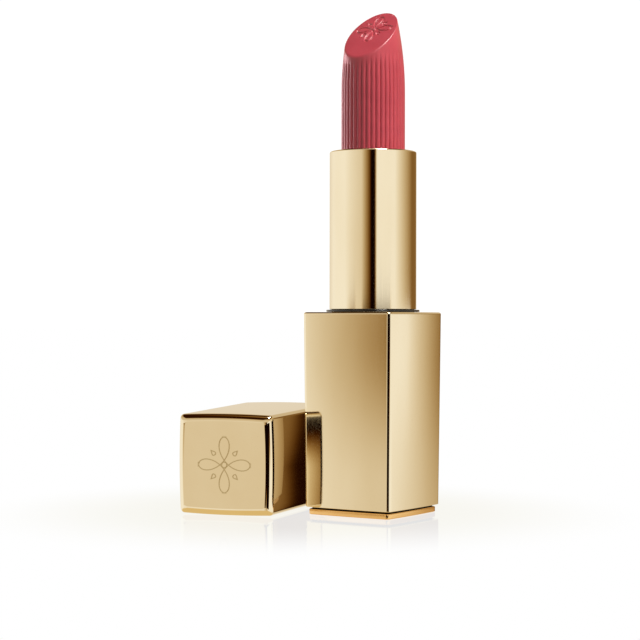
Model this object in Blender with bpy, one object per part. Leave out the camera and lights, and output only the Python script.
"""Refillable twist-up lipstick: a square base, a round turning tube and a square cap lying beside it.

Every physical piece is one object, in metres with +Z up. The origin is the centre of the base's foot, and
the base's faces look along X and Y. Each moving group hangs on an empty that lies on its joint's axis.

Turning the tube by TWIST_TURNS lowers the cup by CUP_TRAVEL: the cup's two lugs pass through the straight
slots of the guide tube and run in the two helical grooves of the spiral sleeve, which turns with the tube.
"""

import math

import bmesh
import bpy
from mathutils import Matrix, Vector

MM = 0.001

# Square body, shared by the base and the cap: widest where the two meet, narrower at both ends.
MEETING_SIDE = 19.8 * MM
END_SIDE = 19.1 * MM
FACE_CROWN = 0.2 * MM  # how far the middle of a face stands proud of its corners
CORNER_RADIUS = 0.8 * MM
EDGE_ROUND = 0.4 * MM
SHELL_WALL = 0.5 * MM
LINER_GAP = 0.06 * MM

# Base, from the floor up.
PLATE_SIDE = 18.2 * MM
PLATE_THICKNESS = 1.05 * MM
PLATE_BOSS_SIDE = 17.4 * MM
PLATE_BOSS_TOP = 2.05 * MM
LABEL_RADIUS = 6.4 * MM
LABEL_THICKNESS = 0.25 * MM
LABEL_RECESS = 0.3 * MM
BASE_BOTTOM = 1.4 * MM
BASE_TOP = 38.2 * MM
BASE_MOUTH_RADIUS = 8.6 * MM
LINER_BOTTOM = 2.2 * MM
LINER_BORE_RADIUS = 8.55 * MM
LINER_WEB = (13.2 * MM, 14.4 * MM)
WEIGHT_RADIUS = 7.9 * MM
WEIGHT_POCKET_RADIUS = 8.0 * MM
WEIGHT_SPAN = (2.3 * MM, 13.1 * MM)

# Refill cartridge, which drops into the base.
STEM_RADIUS = 8.45 * MM
STEM_HOLLOW_RADIUS = 7.4 * MM
STEM_BOTTOM = 15.0 * MM
STEM_CEILING = 27.8 * MM
SOCKET_RADIUS = 8.0 * MM
SOCKET_FLOOR = 30.2 * MM
SOCKET_TOP = 38.15 * MM
GUIDE_RADII = (6.6 * MM, 7.25 * MM)
GUIDE_FLOOR = 29.0 * MM
GUIDE_TOP = 68.0 * MM
SLOT_WIDTH = 2.0 * MM
SLOT_SPAN = (31.5 * MM, 61.8 * MM)
GROOVE_FOR_RING = (18.0 * MM, 18.65 * MM)
GROOVE_FLOOR_RADIUS = 7.95 * MM
PLUG_RADIUS = 7.35 * MM
PLUG_SPAN = (15.1 * MM, 16.3 * MM)
COLLAR_RADII = (8.0 * MM, 8.88 * MM)
COLLAR_SPAN = (38.25 * MM, 38.66 * MM)

# Turning tube and the spiral sleeve fixed inside it.
TUBE_RADII = (7.95 * MM, 8.27 * MM)
TUBE_SPAN = (38.72 * MM, 68.7 * MM)
RIM_LIP_RADIUS = 7.4 * MM
RIM_LIP_UNDERSIDE = 68.35 * MM
SPIRAL_RADII = (7.3 * MM, 7.9 * MM)
SPIRAL_SPAN = (30.9 * MM, 68.2 * MM)
HELIX_GROOVE_RADII = (7.0 * MM, 7.72 * MM)
HELIX_GROOVE_HALF_HEIGHT = 1.1 * MM

# Cup, its lugs and the bullet of lipstick.
CUP_RADII = (6.1 * MM, 6.5 * MM)
CUP_SPAN = (59.0 * MM, 67.9 * MM)
CUP_FLOOR = 0.9 * MM
LUG_RADIUS = 0.9 * MM
LUG_HEIGHT = 60.6 * MM
LUG_REACH = 7.52 * MM
CUP_TRAVEL = 28.0 * MM
TWIST_TURNS = 1.5
BULLET_RADIUS = 6.05 * MM
BULLET_BOTTOM = 59.95 * MM
BULLET_TAPER_START = 80.0 * MM
BULLET_TAPER_RADIUS = 65.0 * MM  # of the arc that draws the sides in towards the tip
BULLET_CUT_HEIGHT = 91.75 * MM  # where the slanted face crosses the axis
BULLET_CUT_ANGLE = math.radians(44)

# Cap, measured from its mouth (0) to its closed end.
CAP_LENGTH = 34.4 * MM
CAP_END_THICKNESS = 0.6 * MM
CAP_END_ROUND = 1.4 * MM
CAP_END_INNER_ROUND = 0.6 * MM
CAP_LINER_SPAN = (0.7 * MM, 32.1 * MM)
CAP_BORE_RADIUS = 8.5 * MM
CAP_BORE_DEPTH = 31.5 * MM
CAP_WEIGHT_RADIUS = 8.0 * MM
CAP_WEIGHT_SPAN = (32.2 * MM, 33.7 * MM)
# The cap lies on one face, mouth to the back-left, turned a little from the base's own axes.
CAP_MOUTH_CENTRE = (-28.4 * MM, 12.87 * MM)
CAP_TURN = math.radians(14.15)

# Closure magnets, one in each corner of both liners.
MAGNET_RADIUS = 1.0 * MM
MAGNET_LENGTH = 1.9 * MM
MAGNET_OFFSET = 7.7 * MM
MAGNET_POCKET_RADIUS = 1.05 * MM
MAGNET_POCKET_DEPTH = 2.05 * MM

# Facets of the curved shapes.
SIDE_STEPS = 3
CORNER_STEPS = 4
AROUND = 4 * (2 * SIDE_STEPS + CORNER_STEPS)
SMALL_AROUND = 16
HELIX_STEP = math.radians(15)
SHARP_ANGLE = math.radians(35)


def clear_scene():
    for thing in list(bpy.data.objects):
        bpy.data.objects.remove(thing, do_unlink=True)


def finish(name, colour, roughness, metallic=0.0):
    material = bpy.data.materials.new(name)
    material.use_nodes = True
    shader = material.node_tree.nodes["Principled BSDF"]
    shader.inputs["Base Color"].default_value = (*colour, 1.0)
    shader.inputs["Roughness"].default_value = roughness
    shader.inputs["Metallic"].default_value = metallic
    return material


def add_empty(name, parent=None):
    empty = bpy.data.objects.new(name, None)
    empty.parent = parent
    bpy.context.collection.objects.link(empty)
    return empty


def add_object(name, mesh, material, parent=None):
    mesh.materials.clear()
    mesh.materials.append(material)
    thing = bpy.data.objects.new(name, mesh)
    thing.parent = parent
    bpy.context.collection.objects.link(thing)
    return thing


def circle(radius, z, count=AROUND):
    """A ring of points that starts on the +X side, as square_outline does."""
    angles = [2 * math.pi * step / count for step in range(count)]
    return [Vector((radius * math.cos(a), radius * math.sin(a), z)) for a in angles]


def square_outline(half, z):
    """A square ring with crowned sides and round corners, from the middle of the +X side."""
    flat = half - FACE_CROWN - CORNER_RADIUS
    quarter = []
    for step in range(SIDE_STEPS):
        along = step / SIDE_STEPS
        quarter.append((half - FACE_CROWN * along**2, flat * along))
    for step in range(CORNER_STEPS):
        angle = math.radians(90) * step / CORNER_STEPS
        quarter.append((flat + CORNER_RADIUS * math.cos(angle), flat + CORNER_RADIUS * math.sin(angle)))
    for step in range(SIDE_STEPS):
        along = 1 - step / SIDE_STEPS
        quarter.append((flat * along, half - FACE_CROWN * along**2))
    points = []
    for turn in range(4):
        rotation = Matrix.Rotation(math.radians(90) * turn, 3, "Z")
        points += [rotation @ Vector((x, y, z)) for x, y in quarter]
    return points


def loft(name, sections, ring=False):
    """A mesh through sections of equal point count: a ring joins its last to its first, else both are capped."""
    count = len(sections[0])
    shape = bmesh.new()
    rows = [[shape.verts.new(point) for point in section] for section in sections]
    pairs = list(zip(rows, rows[1:]))
    if ring:
        pairs.append((rows[-1], rows[0]))
    for lower, upper in pairs:
        for here in range(count):
            after = (here + 1) % count
            shape.faces.new((lower[here], lower[after], upper[after], upper[here]))
    if not ring:
        shape.faces.new(reversed(rows[0]))
        shape.faces.new(rows[-1])
    return closed_mesh(name, shape)


def closed_mesh(name, shape):
    """The finished mesh of a closed shape, with its faces pointing out and round stretches smooth."""
    if shape.calc_volume(signed=True) < 0:
        bmesh.ops.reverse_faces(shape, faces=shape.faces)
    mesh = bpy.data.meshes.new(name)
    shape.to_mesh(mesh)
    shape.free()
    mesh.shade_smooth()
    mesh.set_sharp_from_angle(angle=SHARP_ANGLE)
    return mesh


def turned(name, profile, ring=False, count=AROUND):
    """A mesh turned about the Z axis from (radius, height) points."""
    return loft(name, [circle(radius, z, count) for radius, z in profile], ring)


def boolean(target, operation, tool):
    """Joins a hidden tool object to the target, or cuts it away."""
    tool.hide_render = True
    tool.display_type = "WIRE"
    change = target.modifiers.new(f"{operation.lower()}_{tool.name}", "BOOLEAN")
    change.operation = operation
    change.solver = "EXACT"
    change.object = tool


def disc(name, radius, span, chamfer):
    """A turned disc or slug between two heights, with both edges chamfered."""
    low, high = span
    profile = [
        (radius - chamfer, low),
        (radius, low + chamfer),
        (radius, high - chamfer),
        (radius - chamfer, high),
    ]
    return turned(name, profile)


def base_half(z, inset=0.0):
    """Half the base's side at a height: it widens steadily from the foot to the top."""
    share = (z - BASE_BOTTOM) / (BASE_TOP - BASE_BOTTOM)
    return (END_SIDE + (MEETING_SIDE - END_SIDE) * share) / 2 - inset


def cap_half(z, inset=0.0):
    """Half the cap's side at a distance from its mouth: it narrows steadily to the closed end."""
    share = z / CAP_LENGTH
    return (MEETING_SIDE + (END_SIDE - MEETING_SIDE) * share) / 2 - inset


def rounded_edge(half_at, z_edge, inward, radius=EDGE_ROUND, steps=2):
    """Sections that round an outer edge at z_edge; inward is +1 below a body and -1 on top of it."""
    sections = []
    for step in range(steps + 1):
        angle = math.radians(90) * step / steps
        inset = radius * (1 - math.sin(angle))
        z = z_edge + inward * radius * (1 - math.cos(angle))
        sections.append(square_outline(half_at(z, inset), z))
    return sections if inward > 0 else sections[::-1]


def magnet_spots():
    return [(x * MAGNET_OFFSET, y * MAGNET_OFFSET) for x, y in ((1, 1), (-1, 1), (-1, -1), (1, -1))]


def cut_magnet_pockets(liner, face_z, parent=None):
    """Blind round pockets in a liner's open face. The cutters reach as far out of it as into it."""
    profile = [(MAGNET_POCKET_RADIUS, face_z + side * MAGNET_POCKET_DEPTH) for side in (-1, 1)]
    mesh = turned(f"{liner.name}_pocket_cutter", profile, count=SMALL_AROUND)
    for number, (x, y) in enumerate(magnet_spots(), start=1):
        cutter = add_object(f"{liner.name}_pocket_cutter_{number}", mesh, liner.data.materials[0], parent)
        cutter.location = (x, y, 0)
        boolean(liner, "DIFFERENCE", cutter)


def add_magnets(prefix, low, material, parent=None):
    profile = [(MAGNET_RADIUS, low), (MAGNET_RADIUS, low + MAGNET_LENGTH)]
    mesh = turned(f"{prefix}_magnet", profile, count=SMALL_AROUND)
    for number, (x, y) in enumerate(magnet_spots(), start=1):
        magnet = add_object(f"{prefix}_magnet_{number}", mesh, material, parent)
        magnet.location = (x, y, 0)


def build_base_shell(material):
    """Thin metal box, open below and with a round mouth on top."""
    ceiling = BASE_TOP - SHELL_WALL
    sections = rounded_edge(base_half, BASE_BOTTOM, 1) + rounded_edge(base_half, BASE_TOP, -1)
    sections.append(circle(BASE_MOUTH_RADIUS, BASE_TOP))
    sections.append(circle(BASE_MOUTH_RADIUS, ceiling))
    sections.append(square_outline(base_half(ceiling, SHELL_WALL), ceiling))
    sections.append(square_outline(base_half(BASE_BOTTOM, SHELL_WALL), BASE_BOTTOM))
    add_object("base_shell", loft("base_shell", sections, ring=True), material)


def build_base_liner(material):
    """Moulded core with a bore for the refill above its web and a pocket for the weight below."""
    inset = SHELL_WALL + LINER_GAP
    top = BASE_TOP - SHELL_WALL - LINER_GAP
    pocket_ceiling, bore_floor = LINER_WEB
    sections = [
        circle(WEIGHT_POCKET_RADIUS, pocket_ceiling),
        circle(WEIGHT_POCKET_RADIUS, LINER_BOTTOM),
        square_outline(base_half(LINER_BOTTOM, inset), LINER_BOTTOM),
        square_outline(base_half(top, inset), top),
        circle(LINER_BORE_RADIUS, top),
        circle(LINER_BORE_RADIUS, bore_floor),
    ]
    liner = add_object("base_liner", loft("base_liner", sections), material)
    cut_magnet_pockets(liner, top)
    return top


def build_base_plate(material):
    """Bottom plate with a boss that plugs the shell and a recess for the label."""
    half = PLATE_SIDE / 2
    soft = EDGE_ROUND / 2
    boss = PLATE_BOSS_SIDE / 2
    recess = LABEL_RADIUS + 0.1 * MM
    sections = [
        circle(recess, LABEL_RECESS),
        circle(recess, 0),
        square_outline(half - soft, 0),
        square_outline(half, soft),
        square_outline(half, PLATE_THICKNESS - soft),
        square_outline(half - soft, PLATE_THICKNESS),
        square_outline(boss, PLATE_THICKNESS),
        square_outline(boss, PLATE_BOSS_TOP),
    ]
    add_object("base_plate", loft("base_plate", sections), material)


def build_base(finishes):
    build_base_shell(finishes["gold"])
    liner_top = build_base_liner(finishes["black"])
    build_base_plate(finishes["gold"])
    add_object("base_weight", disc("base_weight", WEIGHT_RADIUS, WEIGHT_SPAN, 0.4 * MM), finishes["steel"])
    label = disc("shade_label", LABEL_RADIUS, (0, LABEL_THICKNESS), 0.05 * MM)
    add_object("shade_label", label, finishes["label"])
    add_magnets("base", liner_top - MAGNET_LENGTH - 0.04 * MM, finishes["nickel"])


def build_guide_tube(material, parent):
    """Cartridge body: a stem that sits in the base, a socket for the spiral and the slotted guide."""
    inner, outer = GUIDE_RADII
    ring_low, ring_high = GROOVE_FOR_RING
    lead_in = 0.4 * MM
    profile = [
        (STEM_HOLLOW_RADIUS, STEM_CEILING),
        (STEM_HOLLOW_RADIUS, STEM_BOTTOM),
        (STEM_RADIUS - lead_in, STEM_BOTTOM),
        (STEM_RADIUS, STEM_BOTTOM + lead_in),
        (STEM_RADIUS, ring_low),
        (GROOVE_FLOOR_RADIUS, ring_low),
        (GROOVE_FLOOR_RADIUS, ring_high),
        (STEM_RADIUS, ring_high),
        (STEM_RADIUS, SOCKET_TOP),
        (SOCKET_RADIUS, SOCKET_TOP),
        (SOCKET_RADIUS, SOCKET_FLOOR),
        (outer, SOCKET_FLOOR),
        (outer, GUIDE_TOP),
        (inner, GUIDE_TOP),
        (inner, GUIDE_FLOOR),
    ]
    guide = add_object("guide_tube", turned("guide_tube", profile), material, parent)
    boolean(guide, "DIFFERENCE", slot_cutter(material, parent))


def slot_cutter(material, parent):
    """One bar that opens both straight slots, on the +X and -X sides of the guide."""
    low, high = SLOT_SPAN
    reach = (GUIDE_RADII[1] + SOCKET_RADIUS) / 2
    size = Matrix.Diagonal((2 * reach, SLOT_WIDTH, high - low, 1))
    shape = bmesh.new()
    bmesh.ops.create_cube(shape, size=1, matrix=Matrix.Translation((0, 0, (low + high) / 2)) @ size)
    return add_object("slot_cutter", closed_mesh("slot_cutter", shape), material, parent)


def build_collar_ring(material, parent):
    inner, outer = COLLAR_RADII
    low, high = COLLAR_SPAN
    soft = 0.1 * MM
    profile = [(outer - soft, low), (outer, low + soft), (outer, high - soft)]
    profile += [(outer - soft, high), (inner, high), (inner, low)]
    add_object("collar_ring", turned("collar_ring", profile, ring=True), material, parent)


def build_soft_ring(name, middle_radius, height, section_radius, material, parent):
    """A ring with a round section, such as an O-ring."""
    profile = []
    for step in range(6):
        angle = math.radians(60) * step
        reach = section_radius * math.cos(angle)
        profile.append((middle_radius + reach, height + section_radius * math.sin(angle)))
    add_object(name, turned(name, profile, ring=True), material, parent)


def build_refill(finishes, parent):
    build_guide_tube(finishes["black"], parent)
    build_collar_ring(finishes["black"], parent)
    plug = disc("refill_plug", PLUG_RADIUS, PLUG_SPAN, 0.1 * MM)
    add_object("refill_plug", plug, finishes["black"], parent)
    ring_height = sum(GROOVE_FOR_RING) / 2
    build_soft_ring("retaining_ring", 8.24 * MM, ring_height, 0.26 * MM, finishes["silicone"], parent)
    brake_middle = (SPIRAL_RADII[0] + SPIRAL_RADII[1]) / 2
    brake_height = (SOCKET_FLOOR + SPIRAL_SPAN[0]) / 2
    build_soft_ring("brake_ring", brake_middle, brake_height, 0.25 * MM, finishes["silicone"], parent)


def build_tube_shell(material, parent):
    """Metal tube whose rim rolls inwards over the top of the spiral sleeve."""
    inner, outer = TUBE_RADII
    low, high = TUBE_SPAN
    soft = 0.15 * MM
    profile = [
        (outer - soft, low),
        (outer, low + soft),
        (outer, high - 2 * soft),
        (outer - soft / 2, high - soft / 2),
        (outer - 1.5 * soft, high),
        (RIM_LIP_RADIUS + soft / 2, high),
        (RIM_LIP_RADIUS, high - soft / 2),
        (RIM_LIP_RADIUS, RIM_LIP_UNDERSIDE),
        (inner, RIM_LIP_UNDERSIDE),
        (inner, low),
    ]
    add_object("tube_shell", turned("tube_shell", profile, ring=True), material, parent)


def helix_cutter(number, material, parent):
    """A helical bar that cuts one groove: its height at angle a is that of the lug lowered by -a."""
    inner, outer = HELIX_GROOVE_RADII
    first = -2 * math.pi * TWIST_TURNS - HELIX_STEP
    steps = round((HELIX_STEP - first) / HELIX_STEP)
    rise = CUP_TRAVEL / (2 * math.pi * TWIST_TURNS)
    sections = []
    for step in range(steps + 1):
        turn = first + HELIX_STEP * step
        across = Vector((math.cos(turn + math.pi * number), math.sin(turn + math.pi * number), 0))
        low = Vector((0, 0, LUG_HEIGHT + rise * turn - HELIX_GROOVE_HALF_HEIGHT))
        high = Vector((0, 0, LUG_HEIGHT + rise * turn + HELIX_GROOVE_HALF_HEIGHT))
        section = [inner * across + low, outer * across + low, outer * across + high, inner * across + high]
        sections.append(section)
    name = f"helix_cutter_{number + 1}"
    return add_object(name, loft(name, sections), material, parent)


def build_spiral_sleeve(material, parent):
    inner, outer = SPIRAL_RADII
    low, high = SPIRAL_SPAN
    profile = [(outer, low), (outer, high), (inner, high), (inner, low)]
    sleeve = add_object("spiral_sleeve", turned("spiral_sleeve", profile, ring=True), material, parent)
    for number in range(2):
        boolean(sleeve, "DIFFERENCE", helix_cutter(number, material, parent))


def build_carrier_cup(material, parent):
    """Cup that grips the bullet, with a lug on each side."""
    inner, outer = CUP_RADII
    low, high = CUP_SPAN
    soft = 0.1 * MM
    profile = [
        (outer - 2 * soft, low),
        (outer, low + 2 * soft),
        (outer, high - soft),
        (outer - soft, high),
        (inner, high),
        (inner, low + CUP_FLOOR),
    ]
    cup = add_object("carrier_cup", turned("carrier_cup", profile), material, parent)
    root = (inner + outer) / 2
    lug_mesh = turned("cup_lug", [(LUG_RADIUS, root), (LUG_RADIUS, LUG_REACH)], count=SMALL_AROUND)
    for number, side in enumerate((1, -1), start=1):
        lug = add_object(f"cup_lug_{number}", lug_mesh, material, parent)
        lug.location = (0, 0, LUG_HEIGHT)
        lug.rotation_euler = (0, side * math.radians(90), 0)
        boolean(cup, "UNION", lug)


def build_bullet(material, parent):
    """Bullet of lipstick: a turned body that draws in towards the tip, cut by one slanted face."""
    edge = 0.3 * MM
    tip = BULLET_CUT_HEIGHT + BULLET_RADIUS
    steps = 8
    profile = [(BULLET_RADIUS - edge, BULLET_BOTTOM), (BULLET_RADIUS, BULLET_BOTTOM + edge)]
    for step in range(steps + 1):
        climb = (tip - BULLET_TAPER_START) * step / steps
        profile.append((BULLET_RADIUS - climb**2 / (2 * BULLET_TAPER_RADIUS), BULLET_TAPER_START + climb))
    shape = bmesh.new()
    shape.from_mesh(turned("bullet_blank", profile))
    cut = bmesh.ops.bisect_plane(
        shape,
        geom=shape.verts[:] + shape.edges[:] + shape.faces[:],
        plane_co=(0, 0, BULLET_CUT_HEIGHT),
        plane_no=(0, -math.sin(BULLET_CUT_ANGLE), math.cos(BULLET_CUT_ANGLE)),
        clear_outer=True,
    )
    edges = [item for item in cut["geom_cut"] if isinstance(item, bmesh.types.BMEdge)]
    bmesh.ops.edgenet_fill(shape, edges=edges)
    bmesh.ops.recalc_face_normals(shape, faces=shape.faces)
    add_object("bullet", closed_mesh("bullet", shape), material, parent)


def build_cap_shell(material, parent):
    """Thin metal box, open at the mouth and closed by a flat end with a full round edge."""
    ceiling = CAP_LENGTH - CAP_END_THICKNESS
    shoulder = ceiling - CAP_END_INNER_ROUND
    sections = [
        square_outline(cap_half(ceiling, SHELL_WALL + CAP_END_INNER_ROUND), ceiling),
        square_outline(cap_half(shoulder, SHELL_WALL), shoulder),
        square_outline(cap_half(0, SHELL_WALL), 0),
    ]
    sections += rounded_edge(cap_half, 0, 1)
    sections += rounded_edge(cap_half, CAP_LENGTH, -1, CAP_END_ROUND, steps=4)
    add_object("cap_shell", loft("cap_shell", sections), material, parent)


def build_cap_liner(material, parent):
    """Moulded sleeve with the round bore that slides over the tube."""
    inset = SHELL_WALL + LINER_GAP
    low, high = CAP_LINER_SPAN
    lead_in = 0.3 * MM
    sections = [
        circle(CAP_BORE_RADIUS, CAP_BORE_DEPTH),
        circle(CAP_BORE_RADIUS, low + lead_in),
        circle(CAP_BORE_RADIUS + lead_in, low),
        square_outline(cap_half(low, inset), low),
        square_outline(cap_half(high, inset), high),
    ]
    liner = add_object("cap_liner", loft("cap_liner", sections), material, parent)
    cut_magnet_pockets(liner, low, parent)


def build_cap(finishes, parent):
    build_cap_shell(finishes["gold"], parent)
    build_cap_liner(finishes["black"], parent)
    weight = disc("cap_weight", CAP_WEIGHT_RADIUS, CAP_WEIGHT_SPAN, 0.2 * MM)
    add_object("cap_weight", weight, finishes["steel"], parent)
    add_magnets("cap", CAP_LINER_SPAN[0] + 0.04 * MM, finishes["nickel"], parent)


def place_cap(holder):
    """Lays the cap on one face: its closed end points forwards, and its taper lies flat on the floor."""
    taper = math.atan((MEETING_SIDE - END_SIDE) / 2 / CAP_LENGTH)
    holder.rotation_euler = (math.radians(90) + taper, 0, CAP_TURN)
    x, y = CAP_MOUTH_CENTRE
    holder.location = (x, y, MEETING_SIDE / 2)


def make_finishes():
    return {
        "gold": finish("gold_plated_metal", (0.82, 0.61, 0.32), 0.1, 1.0),
        "black": finish("black_plastic", (0.012, 0.011, 0.011), 0.35),
        "acetal": finish("white_acetal", (0.78, 0.77, 0.73), 0.4),
        "silicone": finish("grey_silicone", (0.25, 0.25, 0.26), 0.6),
        "steel": finish("zinc_plated_steel", (0.55, 0.56, 0.57), 0.35, 1.0),
        "nickel": finish("nickel_plating", (0.7, 0.68, 0.64), 0.2, 1.0),
        "label": finish("label_film", (0.72, 0.2, 0.24), 0.45),
        "wax": finish("rose_lipstick", (0.58, 0.07, 0.1), 0.4),
    }


def main():
    clear_scene()
    finishes = make_finishes()
    refill = add_empty("refill_slide_axis")
    tube = add_empty("tube_turn_axis", refill)
    cup = add_empty("cup_lift_axis", refill)
    cap = add_empty("cap_holder")
    place_cap(cap)
    build_base(finishes)
    build_refill(finishes, refill)
    build_tube_shell(finishes["gold"], tube)
    build_spiral_sleeve(finishes["acetal"], tube)
    build_carrier_cup(finishes["acetal"], cup)
    build_bullet(finishes["wax"], cup)
    build_cap(finishes, cap)


main()
